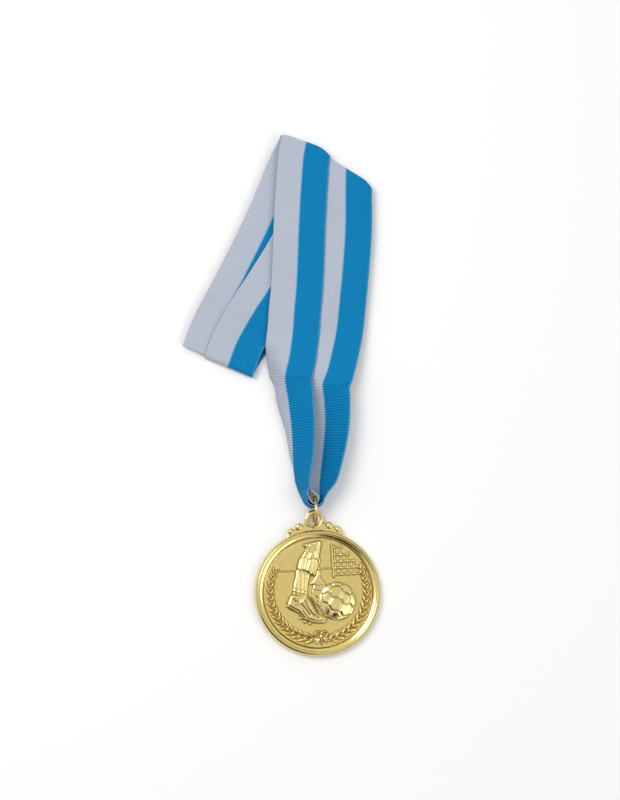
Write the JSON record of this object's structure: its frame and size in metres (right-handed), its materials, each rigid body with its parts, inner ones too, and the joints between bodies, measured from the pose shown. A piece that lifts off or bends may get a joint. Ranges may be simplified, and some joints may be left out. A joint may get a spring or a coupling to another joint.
{
  "type": "award medal",
  "caption": "Die-cast award medal with raised sports relief, hung by a split jump ring from a flat-folded two-colour woven neck ribbon",
  "frame": {"origin": "centre of the disc's flat back, on the plane the medal lies on", "axes": "+Z out of the disc's face, +Y from the disc's centre to the eyelet and along the ribbon, +X to the right seen from the face"},
  "size_m": [0.0949, 0.2491, 0.015],
  "materials": {
    "gold_plate": "gold-plated zinc casting, satin relief on a frosted ground with a bright rim",
    "gold_wire": "bright plated steel wire",
    "woven_satin": "ribbed woven polyester, one half white and one half blue",
    "sewing_thread": "spun polyester thread"
  },
  "bodies": {
    "neck_ribbon": {"ribbon": "woven_satin", "seam_stitching": "sewing_thread"},
    "ring": {"jump_ring": "gold_wire"},
    "medal": {"medal_casting": "gold_plate"}
  },
  "joints": [
    {"name": "ring_swivel", "type": "hinge", "parent": "neck_ribbon", "child": "ring", "pos_m": [0, 0.04525, 0.0075], "axis": [0, 0, 1], "range_deg": [-10, 10]},
    {"name": "medal_swing", "type": "hinge", "parent": "ring", "child": "medal", "pos_m": [0, 0.0385, 0.0075], "axis": [-1, 0, 0], "range_deg": [0, 110]}
  ]
}
